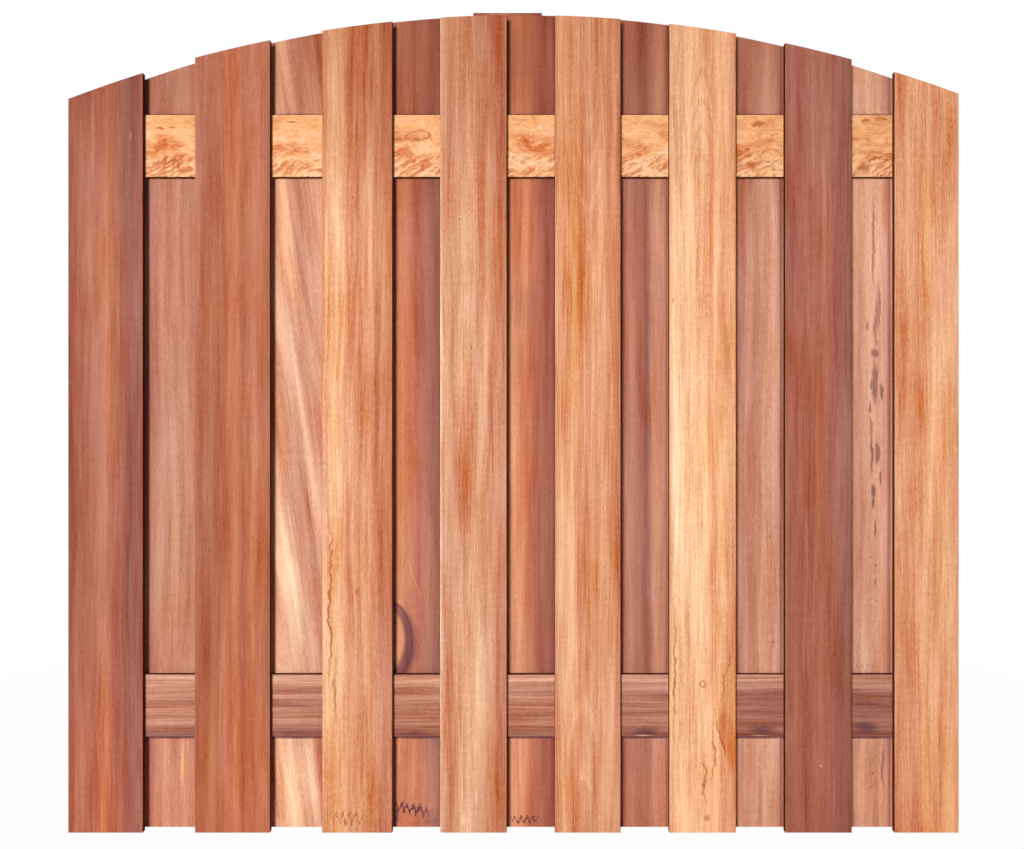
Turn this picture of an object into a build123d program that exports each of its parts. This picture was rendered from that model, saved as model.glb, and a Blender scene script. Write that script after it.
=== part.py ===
from build123d import *
import os
from math import sqrt

# Arched fence panel: upright boards fixed by turns to the front and the back of two rails.
# The tops of the boards follow an arch, and one more board runs up the middle of the back.
# All sizes are in millimetres. X runs to the right as seen from the front, Y runs from the
# front to the back, and Z is up. The origin is on the ground, in the middle of the panel.

# Whole panel
LENGTH = 1800

# Front boards, from left to right. The gaps between them share what is left of the length, and
# each gap is wider or narrower than that share by its own slip. The slips add up to nothing.
FRONT_WIDTHS = [151, 152, 142, 135, 133, 135, 135, 130]
GAP_SLIPS = [7, 7, -2, -1, 0, 1, -12]

# Back boards: one behind each gap, all of the same width
BACK_WIDTH = 140

# Centre stile: the board on the back of the middle back board
STILE_WIDTH = 142
STILE_SHIFT = -12
STILE_ABOVE_BACK = 11

# Thickness of each layer, from the front to the back
FRONT_THICK = 16
RAIL_THICK = 16
BACK_THICK = 16
STILE_THICK = 16

# Arch of the front boards and the slightly rounder and higher one of the back boards
ARCH_SHIFT = 14
FRONT_ARCH_RADIUS = 2544
FRONT_CROWN = 1652
BACK_ARCH_RADIUS = 2312
BACK_ABOVE_FRONT = 11

# Rails
RAIL_HEIGHT = 127
LOWER_RAIL_BOTTOM = 189
RAIL_BELOW_SHOULDER = 27

# Planed section: eased long edges. The front boards and the rails have fine grooves besides, which
# part their front face into equal strips.
EDGE_ROUND = 2
STRIP_COUNT = 3
GROOVE_WIDTH = 2
GROOVE_DEPTH = 0.5

# Countersunk wood screws, two at each crossing, one up and one down. There are many of them, so
# their round form has few sides.
SCREW_SIDES = 6
SCREW_DIAMETER = 4
SCREW_HEAD_DIAMETER = 8
SCREW_TIP = 4
SCREW_SPREAD = 50
SCREW_FROM_RAIL_EDGE = 33
BOARD_SCREW_COVER = 2
STILE_SCREW_COVER = 3
SCREW_FIT = 0.15

# Places that follow from the sizes above
GAP_SHARE = (LENGTH - sum(FRONT_WIDTHS)) / len(GAP_SLIPS)
BACK_CROWN = FRONT_CROWN + BACK_ABOVE_FRONT
STILE_TOP = BACK_CROWN + STILE_ABOVE_BACK
DEPTH = FRONT_THICK + RAIL_THICK + BACK_THICK + STILE_THICK
LEFT_END = -LENGTH / 2
RIGHT_END = LENGTH / 2
FRONT_FACE = -DEPTH / 2
RAIL_FACE = FRONT_FACE + FRONT_THICK
BACK_FACE = RAIL_FACE + RAIL_THICK
STILE_FACE = BACK_FACE + BACK_THICK
REAR = STILE_FACE + STILE_THICK


def shoulder_height():
    """Height of the front arch over the end of the panel that lies further from its crown."""
    reach = LENGTH / 2 + abs(ARCH_SHIFT)
    return FRONT_CROWN - FRONT_ARCH_RADIUS + sqrt(FRONT_ARCH_RADIUS**2 - reach**2)


UPPER_RAIL_BOTTOM = shoulder_height() - RAIL_BELOW_SHOULDER - RAIL_HEIGHT
RAILS = {"upper": UPPER_RAIL_BOTTOM, "lower": LOWER_RAIL_BOTTOM}


def front_spans():
    """Left and right edge of each front board."""
    spans = []
    left = LEFT_END
    for width, slip in zip(FRONT_WIDTHS, GAP_SLIPS + [0]):
        spans.append((left, left + width))
        left += width + GAP_SHARE + slip
    return spans


def back_spans():
    """Left and right edge of each back board, centred on the gap in front of it."""
    spans = []
    fronts = front_spans()
    for (_, gap_left), (gap_right, _) in zip(fronts, fronts[1:]):
        middle = (gap_left + gap_right) / 2
        spans.append((middle - BACK_WIDTH / 2, middle + BACK_WIDTH / 2))
    return spans


def stile_span():
    """Left and right edge of the centre stile."""
    return (STILE_SHIFT - STILE_WIDTH / 2, STILE_SHIFT + STILE_WIDTH / 2)


def middle_board():
    """Index of the back board that carries the centre stile."""
    left, right = stile_span()
    overlaps = [min(right, r) - max(left, l) for l, r in back_spans()]
    return overlaps.index(max(overlaps))


def plank(width, thick, length, strips=1):
    """Planed board standing on the origin, its face towards -Y grooved into strips."""
    section = fillet(Rectangle(width, thick).vertices(), EDGE_ROUND)
    y = -thick / 2
    for number in range(1, strips):
        x = width * (number / strips - 0.5)
        section -= make_face(Polyline(
            (x - GROOVE_WIDTH / 2, y), (x, y + GROOVE_DEPTH), (x + GROOVE_WIDTH / 2, y), close=True))
    return extrude(section, length)


def upright(span, face, thick, height, strips=1):
    """Board over the given span of X, from the ground up to the given height."""
    left, right = span
    return Pos((left + right) / 2, face + thick / 2, 0) * plank(right - left, thick, height, strips)


def arch(radius, crown):
    """Everything below an arch, as a round block whose axis runs from front to back."""
    drum = Plane.XZ * Cylinder(radius, DEPTH * 2)
    return Pos(ARCH_SHIFT, 0, crown - radius) * drum


def rail(bottom):
    """Level board between the two layers of uprights, over the whole length."""
    start = Plane((RIGHT_END, RAIL_FACE + RAIL_THICK / 2, bottom + RAIL_HEIGHT / 2),
                  x_dir=(0, 0, 1), z_dir=(-1, 0, 0))
    return start * plank(RAIL_HEIGHT, RAIL_THICK, LENGTH, STRIP_COUNT)


def screw(length, room=0):
    """Screw that points towards -Y, its flat head at the origin. Room makes it the size of its hole."""
    head = SCREW_HEAD_DIAMETER / 2 + room
    shank = SCREW_DIAMETER / 2 + room
    step = 360 / SCREW_SIDES
    rings = []
    for radius, depth in ((head, 0), (shank, head - shank), (shank, length - SCREW_TIP)):
        rings.append([Vector(0, -depth, radius).rotate(Axis.Y, step * k) for k in range(SCREW_SIDES)])
    point = Vector(0, -length - room, 0)
    faces = [Face(Wire.make_polygon(rings[0]))]
    for upper, lower in zip(rings, rings[1:]):
        for k in range(SCREW_SIDES):
            faces.append(Face(Wire.make_polygon([upper[k - 1], upper[k], lower[k], lower[k - 1]])))
    for k in range(SCREW_SIDES):
        faces.append(Face(Wire.make_polygon([rings[-1][k - 1], rings[-1][k], point])))
    return Solid(Shell(faces))


def front_screw_places(bottom):
    """Two places behind each front board, between the back boards, on the back of a rail."""
    free = [LEFT_END] + [edge for span in back_spans() for edge in span] + [RIGHT_END]
    places = []
    for left, right in zip(free[::2], free[1::2]):
        places += crossing((left + right) / 2, BACK_FACE, bottom, 1)
    return places


def back_screw_places(bottom):
    """Two places on the back of each back board, where it crosses a rail."""
    places = []
    for left, right in back_spans():
        places += crossing((left + right) / 2, STILE_FACE, bottom, 1)
    return places


def stile_screw_places(bottom):
    """Two places on the back of the stile, where it covers the middle back board."""
    spans = [stile_span(), back_spans()[middle_board()]]
    left = max(span[0] for span in spans)
    right = min(span[1] for span in spans)
    return crossing((left + right) / 2, REAR, bottom, -1)


def crossing(x, face, bottom, lean):
    """Two places on a slant over a rail. Lean 1 puts the left one high, and -1 puts it low."""
    high = bottom + RAIL_HEIGHT - SCREW_FROM_RAIL_EDGE
    low = bottom + SCREW_FROM_RAIL_EDGE
    aside = SCREW_SPREAD / 2 * lean
    return [(x - aside, face, high), (x + aside, face, low)]


def copies(shape, places):
    """The same shape at each of the places."""
    return [Pos(*place) * shape for place in places]


def near(box, tools):
    """The tools that reach into a piece's bounding box."""
    hits = []
    for tool in tools:
        own = tool.bounding_box()
        apart = (own.min.X > box.max.X or own.max.X < box.min.X or own.min.Y >= box.max.Y
                 or own.max.Y <= box.min.Y or own.min.Z > box.max.Z or own.max.Z < box.min.Z)
        if not apart:
            hits.append(tool)
    return hits


BOARD_SCREW = RAIL_THICK + min(FRONT_THICK, BACK_THICK) - BOARD_SCREW_COVER
STILE_SCREW = STILE_THICK + BACK_THICK + RAIL_THICK - STILE_SCREW_COVER

# Pieces of wood
wood = {}
for number, span in enumerate(front_spans(), 1):
    board = upright(span, FRONT_FACE, FRONT_THICK, FRONT_CROWN, STRIP_COUNT)
    wood[f"front_board_{number}"] = board & arch(FRONT_ARCH_RADIUS, FRONT_CROWN)
for number, span in enumerate(back_spans(), 1):
    board = upright(span, BACK_FACE, BACK_THICK, BACK_CROWN)
    wood[f"back_board_{number}"] = board & arch(BACK_ARCH_RADIUS, BACK_CROWN)
wood["centre_stile"] = upright(stile_span(), STILE_FACE, STILE_THICK, STILE_TOP)
for name, bottom in RAILS.items():
    wood[f"{name}_rail"] = rail(bottom)

# Screws, and the holes that they need
groups = {}
holes = []
for name, bottom in RAILS.items():
    for kind, length, places in (
        ("front", BOARD_SCREW, front_screw_places(bottom)),
        ("back", BOARD_SCREW, back_screw_places(bottom)),
        ("stile", STILE_SCREW, stile_screw_places(bottom)),
    ):
        groups[f"{kind}_screws_{name}"] = copies(screw(length), places)
        holes += copies(screw(length, SCREW_FIT), places)

os.makedirs("parts", exist_ok=True)
for name, piece in wood.items():
    bored = piece - near(piece.bounding_box(), holes)
    export_step(bored, f"parts/{name}.step")
for name, screws in groups.items():
    export_step(Compound(children=screws), f"parts/{name}.step")
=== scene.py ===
import math
from dataclasses import dataclass

import bmesh
import bpy
from bpy.props import FloatProperty, FloatVectorProperty, IntProperty, PointerProperty
from bpy.types import Operator, Panel, PropertyGroup
from mathutils import Matrix, Vector


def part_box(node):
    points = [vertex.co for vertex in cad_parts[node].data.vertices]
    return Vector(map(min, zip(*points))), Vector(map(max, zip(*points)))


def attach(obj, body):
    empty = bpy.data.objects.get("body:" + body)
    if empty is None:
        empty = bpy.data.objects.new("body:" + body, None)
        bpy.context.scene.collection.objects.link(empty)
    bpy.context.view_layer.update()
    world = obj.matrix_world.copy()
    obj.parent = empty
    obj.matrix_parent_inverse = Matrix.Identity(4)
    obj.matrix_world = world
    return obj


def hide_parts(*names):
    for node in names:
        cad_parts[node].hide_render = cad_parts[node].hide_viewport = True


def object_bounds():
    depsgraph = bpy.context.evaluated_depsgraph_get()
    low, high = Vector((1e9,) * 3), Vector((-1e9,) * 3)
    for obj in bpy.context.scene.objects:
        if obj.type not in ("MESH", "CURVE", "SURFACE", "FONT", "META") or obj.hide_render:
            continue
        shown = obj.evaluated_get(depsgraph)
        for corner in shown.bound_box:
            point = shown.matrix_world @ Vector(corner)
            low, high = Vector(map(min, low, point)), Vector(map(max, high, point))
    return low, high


bl_info = {
    "name": "Arched fence panel",
    "version": (1, 0, 0),
    "blender": (4, 5, 0),
    "location": "3D View > Sidebar > Fence panel",
    "description": "Dresses an arched fence panel in planed hardwood with stainless screws",
    "category": "Object",
}

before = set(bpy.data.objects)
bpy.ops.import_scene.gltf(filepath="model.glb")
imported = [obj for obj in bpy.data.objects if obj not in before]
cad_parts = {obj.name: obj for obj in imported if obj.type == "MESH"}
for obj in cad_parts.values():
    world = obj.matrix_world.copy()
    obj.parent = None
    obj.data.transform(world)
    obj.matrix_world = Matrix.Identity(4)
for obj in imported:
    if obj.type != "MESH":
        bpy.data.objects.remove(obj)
CAD_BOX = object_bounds()

MM = 0.001
FRONT_FACE = CAD_BOX[0].y
RIGHT_END = CAD_BOX[1].x
TOP = CAD_BOX[1].z

# Setting that gives a range soft ends
SMOOTH = {"interpolation_type": "SMOOTHSTEP"}

# Heights where a board's own light, its top shade and its foot warmth start or end
LIGHT_END = 0.5
SHADE_START = 1.15
SHADE_END = 1.6
WARMTH_END = 0.45

# Strength of each pattern in planed wood
FINE = 0.7
WIDE = 0.55
CLOUDS = 0.45
MOTTLE = 0.5
HUE_SWING = 0.02
RICH_SWING = 0.3

# Noise cells in a metre: the drift of the bands across, into and along a board, the ragged edges of
# the marks, and the clouds on steel
DRIFT_SCALE = (6, 6, 1.7)
RAGGED_SCALE = 26
STEEL_SCALE = 900

# Depths behind the front face between which painted shade in a groove or on an eased edge grows, and fades,
# and its strength
GROOVE_SHADE_GROWS = (0.1 * MM, 0.5 * MM)
GROOVE_SHADE_FADES = (0.6 * MM, 2 * MM)
GROOVE_SHADE_UPRIGHT = 0.2
GROOVE_SHADE_LEVEL = 0.7

# Painted highlight on eased edges, and painted shade on sides that face another board and on the panel's
# two ends, given as brightness
EDGE_LIGHT = 1.22
SIDE_LIGHT = 0.15
END_LIGHT = 0.85

# Screws, each turned a little further than the one before it
THREAD_PITCH = 1.6 * MM
HEAD_RIM = 0.3 * MM
HEAD_PROUD = 0.15 * MM
HEAD_TURN = 0.7
RECESS_LOBES = 6

# Stage
FLOOR_REACH = 60
SKY_LIGHT = 0.015
SENSOR_WIDTH = 36

# Lamps: name, azimuth and elevation in degrees, distance and width in metres, and watts
LAMPS = (
    ("key", -14, 8, 5, 0.95, 240),
    ("top", 0, 80, 6, 2, 30),
    ("left", -96, 8, 9, 1.5, 330),
    ("right", 96, 8, 9, 1.5, 330),
    ("back", 168, 12, 9, 2, 680),
)


def linear(hex_value):
    """Linear red, green and blue of an sRGB hex value."""
    shares = [int(hex_value[i:i + 2], 16) / 255 for i in (1, 3, 5)]
    return tuple(s / 12.92 if s <= 0.04045 else ((s + 0.055) / 1.055) ** 2.4 for s in shares)


def tone(label, description, hex_value):
    """A colour that a user can change, with its default as an sRGB hex value."""
    return FloatVectorProperty(name=label, description=description, subtype="COLOR", min=0, max=1,
                               default=linear(hex_value))


def metres(label, description, default):
    """A length that a user can change."""
    return FloatProperty(name=label, description=description, default=default, unit="LENGTH", precision=5)


class FenceTones(PropertyGroup):
    """Colours of the oiled hardwood and the screws."""

    oxblood: tone("Oxblood", "Dark red at the shaded edge of a dark board", "#8C5346")
    plum: tone("Plum", "Purple brown of old heartwood", "#8E5A50")
    garnet: tone("Garnet", "Dark red brown of heartwood", "#A0604F")
    rosewood: tone("Rosewood", "Muted purple red of heartwood", "#A16658")
    mahogany: tone("Mahogany", "Even brown red of the darkest front board", "#AC6A58")
    brick: tone("Brick", "Main red brown of the dark boards", "#B16B56")
    clay: tone("Clay", "Muted pink brown", "#BE7E69")
    terracotta: tone("Terracotta", "Warm red brown", "#C37556")
    russet: tone("Russet", "Red brown with little blue in it", "#B36B50")
    copper: tone("Copper", "Orange brown streaks in the dark boards", "#CB7E5C")
    dusty: tone("Dusty pink", "Main pink brown of the back boards", "#CB8D75")
    salmon: tone("Salmon", "Pink orange of the lighter boards", "#D28B69")
    blush: tone("Blush", "Light pink brown", "#DBA084")
    ginger: tone("Ginger", "Orange streaks in the light boards", "#DE9464")
    apricot: tone("Apricot", "Main tan of the light boards", "#E09B74")
    fawn: tone("Fawn", "Muted tan", "#DC9F7D")
    petal: tone("Petal", "Pale pink tan", "#E6A986")
    peach: tone("Peach", "Light tan", "#EAA87B")
    honey: tone("Honey", "Pale tan", "#F2B486")
    cream: tone("Cream", "Pale sapwood", "#F8C499")
    wheat: tone("Wheat", "Warm pale sapwood", "#F6BE90")
    ivory: tone("Ivory", "Palest sapwood", "#F9D0A8")
    amber: tone("Amber", "Ground of the figured rail", "#F0AC72")
    flame: tone("Flame", "Orange figure of the rail", "#DF8148")
    rust: tone("Rust", "Dark orange brown figure", "#B9622F")
    umber: tone("Umber", "Dark brown specks and knots", "#6E3D2A")
    # Also the colour of the painted shadow lines along the rails and beside the front boards
    stain_and_shadow: tone("Ink", "Purple black tannin stain", "#6B4148")
    shade: tone("Top shade", "Multiplied over the upper ends of the boards", "#D8C2BA")
    warmth: tone("Foot warmth", "Multiplied over the lower ends of the boards", "#FBEBDD")
    steel: tone("Steel", "Stainless steel of the screws", "#B9B6B0")
    paper: tone("Paper", "Floor and background", "#B0AFAD")


class FenceSizes(PropertyGroup):
    """Sizes of the grain, the screws and the picture."""

    grain_width: metres("Grain width", "Width of the fine stripes in the wood", 2.1 * MM)
    streak_width: metres("Streak width", "Width of the broad stripes in the wood", 14 * MM)
    pore_width: metres("Pore width", "Width of the open pores", 1.5 * MM)
    pore_length: metres("Pore length", "Length of the open pores along the grain", 11 * MM)
    pore_depth: metres("Pore depth", "Depth of the open pores and the planed grain", 0.25 * MM)
    screw_head: metres("Screw head", "Diameter of the countersunk heads", 8.4 * MM)
    screw_shank: metres("Screw shank", "Diameter of the shanks over the thread", 4 * MM)
    screw_sides: IntProperty(name="Screw sides", description="Faces round each screw", default=24, min=12)
    camera_distance: metres("Camera distance", "From the camera to the front of the boards", 2.22)
    camera_height: metres("Camera height", "Height of the camera over the ground", 0.8246)
    camera_aside: metres("Camera aside", "Camera's distance right of the middle", -0.003)
    view_width: metres("View width", "Width that the camera takes in at the boards", 2.0687)


@dataclass
class Mark:
    """A streak, stain, speck or knot, filled from a row in this order. Sizes in millimetres: across
    from a board's left edge or a rail's lower one, along from the ground or a rail's left end, wide
    and tall to each side, how ragged it is, and a zigzag's wave as height and period. Soft is the
    share of its reach that fades, and ring a ring's thickness as such a share. Turn is in degrees."""

    tone: str
    across: float
    along: float
    wide: float
    tall: float
    strength: float = 0.6
    soft: float = 0.8
    ragged: float = 0
    turn: float = 0
    ring: float = 0
    wave: tuple = ()


@dataclass
class Flame:
    """Nested arches where growth rings run out of the face. A tip of 1 points up and -1 points down."""

    tone: str
    across: float
    along: float
    wide: float
    tall: float
    rings: float = 4
    strength: float = 0.4
    tip: int = 1


@dataclass
class Wood:
    """How one board differs from the next.

    bands: pairs of a share of the width and a tone
    wander: how far the bands stray to each side, in millimetres
    slant: how far the stripes lean to the left in a metre, in metres
    grain, streaks, pores, ripple: strength of fine stripes, broad stripes, pores and cross figure
    breadth: width of the broad stripes, 1 for the usual width
    light: brightness of the whole board
    rise: brightness of its lower end against the rest
    top, foot: share of the top shade and of the foot warmth
    fire: how much redder its dark grain is
    """

    bands: tuple
    wander: float = 12
    slant: float = 0
    grain: float = 1
    streaks: float = 1
    breadth: float = 1
    pores: float = 0.1
    ripple: float = 0.08
    light: float = 1
    top: float = 0
    foot: float = 0.5
    rise: float = 1.04
    fire: float = 1
    flames: tuple = ()
    marks: tuple = ()


def blots(tone, strength, ragged, *places):
    """Rows for ragged blots of one tone, each given as across, along, wide and tall."""
    return tuple((tone, *place, strength, 0.6, ragged) for place in places)


# Painted shadow lines on the back boards along the rails, over the upper one and under the lower one.
RAIL_SHADOW_LINES = (("stain_and_shadow", 70, 1460.5, 90, 1.6, 0.6, 0.6), ("stain_and_shadow", 70, 183, 90, 3, 0.9, 0.6))

FRONT_WOODS = (
    Wood(
        bands=((0, "garnet"), (0.1, "brick"), (0.36, "brick"), (0.5, "terracotta"), (0.6, "brick"),
               (0.7, "brick"), (0.78, "rosewood"), (0.9, "rosewood"), (1, "brick")),
        light=0.88, top=0.75, foot=0.4, rise=1.34,
        marks=(
            ("clay", 60, 500, 70, 700, 0.25, 1), ("copper", 49, 1400, 5, 120, 0.6),
            ("blush", 127, 1408, 1.1, 14, 0.9, 0.5, 4, 4), ("plum", 108, 1300, 14, 260, 0.35, 1),
            ("plum", 100, 240, 7, 330, 0.35, 1), ("copper", 78, 200, 12, 320, 0.6, 1),
            ("copper", 80, 980, 9, 260, 0.4, 1),
        ),
    ),
    Wood(
        bands=((0, "russet"), (0.2, "russet"), (0.33, "russet"), (0.47, "terracotta"),
               (0.56, "terracotta"), (0.66, "russet"), (0.8, "terracotta"), (1, "russet")),
        light=0.9, foot=0.3, rise=1.2,
        marks=(
            ("copper", 78, 280, 9, 330, 0.7, 1), ("salmon", 54, 1380, 2.2, 110, 0.6),
            ("plum", 40, 700, 6, 560, 0.3, 1), ("copper", 118, 900, 8, 600, 0.6, 1),
            ("copper", 52, 1150, 6, 260, 0.6, 1), ("salmon", 80, 1260, 1.6, 60, 0.5),
        ),
    ),
    Wood(
        bands=((0, "peach"), (0.08, "honey"), (0.22, "honey"), (0.36, "apricot"), (0.52, "apricot"),
               (0.64, "apricot"), (0.8, "salmon"), (0.93, "copper"), (1, "terracotta")),
        light=0.91, top=0.95, foot=0.2, wander=14, fire=1.9,
        marks=(
            ("terracotta", 56, 1525, 16, 70, 0.55, 1, 20, 5), ("copper", 100, 1500, 12, 110, 0.5, 1),
            ("honey", 56, 1300, 3.5, 250, 0.7, 0.8, 4), ("flame", 38, 590, 16, 95, 0.55, 1, 10, 8),
            ("copper", 76, 700, 6, 260, 0.4, 1, 8), ("copper", 112, 560, 3.5, 320, 0.4, 1, 8),
            ("flame", 20, 500, 13, 200, 0.6, 1, 34), ("rust", 16, 460, 4, 240, 0.9, 0.7, 34),
            ("rust", 26, 290, 4, 90, 0.7, 0.8, 34), ("rust", 70, 486, 3, 9, 0.7, 0.8, 8, 20),
            ("umber", 62, 1283, 1.6, 5, 0.7), ("umber", 95, 1058, 1.6, 4, 0.7),
            ("rust", 60, 34, 50, 6, 0.95, 0.7, 10, 0, 0, (10, 13)),
        ),
    ),
    Wood(
        bands=((0, "ivory"), (0.04, "petal"), (0.14, "fawn"), (0.3, "fawn"), (0.42, "petal"),
               (0.58, "fawn"), (0.7, "fawn"), (0.8, "salmon"), (0.92, "salmon"), (1, "salmon")),
        light=0.92, top=0.75, foot=0.3, streaks=1.3, wander=4, fire=1.9,
        marks=(
            ("petal", 67, 850, 70, 220, 0.4, 1), ("copper", 99, 270, 7, 330, 0.65, 1, 16),
            ("salmon", 50, 560, 8, 300, 0.7, 1, 22), ("petal", 78, 300, 7, 300, 0.6, 1, 16),
            ("copper", 64, 160, 6, 170, 0.5, 1, 16), ("ginger", 87, 1150, 7, 520, 0.5),
            ("umber", 63, 981, 1.6, 9, 0.8), ("umber", 71, 864, 1.6, 3, 0.8),
            ("umber", 121, 854, 1.6, 3, 0.7), ("umber", 39, 1240, 5, 1.6, 0.6),
            ("ivory", 73, 72, 2.4, 20, 0.7), ("ivory", 47, 24, 7, 17, 0.5, 0.8, 4),
            ("copper", 34, 22, 5, 16, 0.6, 0.8, 4),
        ),
    ),
    Wood(
        bands=((0, "apricot"), (0.2, "peach"), (0.34, "apricot"), (0.5, "apricot"), (0.66, "apricot"),
               (0.88, "apricot"), (0.95, "salmon"), (1, "salmon")),
        light=0.94, top=0.5, foot=0.2, wander=7, fire=1.9,
        flames=(
            Flame("honey", 66, 1330, 44, 210, 2.5, 0.45, -1), Flame("honey", 57, 255, 42, 170, 1.2, 0.6),
            Flame("honey", 58, 110, 22, 60, 1, 0.5),
        ),
        marks=(
            ("rust", 18, 1095, 3, 85, 0.5, 0.8, 12), ("ivory", 124, 1527, 6, 1.6, 0.8),
            ("rust", 8, 1480, 3, 40, 0.4),
        ),
    ),
    Wood(
        bands=((0, "peach"), (0.06, "cream"), (0.3, "wheat"), (0.5, "wheat"), (0.58, "honey"),
               (0.66, "peach"), (0.74, "honey"), (0.86, "peach"), (1, "apricot")),
        light=1, top=0.5, foot=0.6, wander=14, fire=1.7,
        flames=(Flame("ginger", 66, 1440, 36, 170, 3, 0.5),),
        marks=(
            ("flame", 34, 1390, 3, 150, 0.6, 0.8, 24), ("flame", 86, 1200, 8, 330, 0.6, 0.9, 14),
            ("ginger", 104, 1000, 12, 400, 0.5, 0.9, 14), ("flame", 80, 800, 4, 240, 0.4, 0.9, 14),
            ("umber", 8, 1076, 2, 8, 0.6), ("rust", 10, 320, 2.8, 190, 0.8, 0.8, 30),
            ("rust", 114, 320, 2.8, 90, 0.8, 0.8, 34, 10),
            ("ginger", 120, 188, 17, 72, 0.9, 0.35, 24, -12),
            ("flame", 124, 165, 10, 46, 0.6, 0.7, 24, -12),
            ("rust", 105, 192, 2.6, 78, 0.9, 0.8, 24, -12), ("rust", 88, 160, 2.8, 95, 0.9, 0.8, 40, 3),
            ("rust", 72, 105, 2.8, 70, 0.85, 0.8, 40), ("rust", 76, 28, 8, 9, 0.7, 0.7, 14),
            ("rust", 68, 300, 5, 6, 0.7, 0.8, 3, 0, 0.45),
        ),
    ),
    Wood(
        bands=((0, "mahogany"), (0.3, "mahogany"), (0.5, "brick"), (0.66, "mahogany"), (0.9, "rosewood"),
               (1, "oxblood")),
        light=1, top=0.25, foot=0.9, rise=0.98, wander=5,
        marks=(
            ("copper", 78, 1150, 4, 420, 0.45), ("ivory", 72, 135, 1.8, 4, 0.8),
            ("plum", 99, 137, 4, 10, 0.6, 0.8, 6), ("clay", 44, 800, 1.2, 760, 0.3, 0.8, 1),
            ("copper", 64, 640, 6, 300, 0.4, 1, 4),
        ),
    ),
    Wood(
        bands=((0, "apricot"), (0.22, "apricot"), (0.33, "apricot"), (0.45, "peach"), (0.57, "peach"),
               (0.68, "apricot"), (0.8, "peach"), (1, "apricot")),
        light=1.03, foot=0.8, fire=2, grain=0.9,
        marks=(
            ("fawn", 65, 1430, 110, 200, 0.6, 1), ("flame", 57, 1050, 5, 380, 0.5, 1, 8),
            ("ginger", 62, 1000, 14, 500, 0.4, 1, 8), ("flame", 96, 780, 6, 160, 0.55, 0.9, 10),
            ("honey", 92, 1000, 5, 330, 0.5, 1, 8),
        ),
    ),
)

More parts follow.
